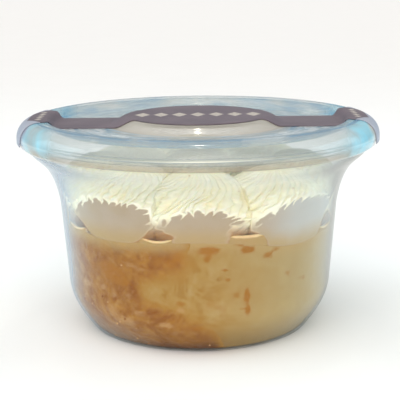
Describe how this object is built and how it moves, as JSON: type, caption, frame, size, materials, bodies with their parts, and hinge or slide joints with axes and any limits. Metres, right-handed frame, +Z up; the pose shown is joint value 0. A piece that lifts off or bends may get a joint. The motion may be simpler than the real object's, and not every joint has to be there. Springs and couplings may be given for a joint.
{
  "type": "tres leches cake cup",
  "caption": "Clear flared dessert cup with a push-on clear lid and paper band, filled with milk-soaked sponge cake under piped whipped cream rosettes.",
  "frame": {"origin": "middle of the cup's flat base, on the surface it stands on", "axes": "+Z up along the cup's axis; -Y is the side the picture shows; the paper band crosses the lid along X"},
  "size_m": [0.1022, 0.101, 0.0597],
  "materials": {
    "clear_cup": "clear thin thermoformed plastic, glossy",
    "clear_lid": "clear thin thermoformed plastic, glossy, faint blue edge",
    "plum_paper": "satin coated paper",
    "soaked_sponge": "wet porous crumb",
    "milk_soak": "smooth and wet",
    "whipped_cream": "soft satin, ridged"
  },
  "bodies": {
    "root": {"cup": "clear_cup", "lid": "clear_lid", "label_band": "plum_paper", "sponge_cake": "soaked_sponge", "milk": "milk_soak", "cream_rosette_1": "whipped_cream", "cream_rosette_2": "whipped_cream", "cream_rosette_3": "whipped_cream", "cream_rosette_4": "whipped_cream", "cream_rosette_5": "whipped_cream", "cream_rosette_6": "whipped_cream", "cream_rosette_7": "whipped_cream", "cream_rosette_8": "whipped_cream", "cream_centre": "whipped_cream"}
  },
  "joints": []
}
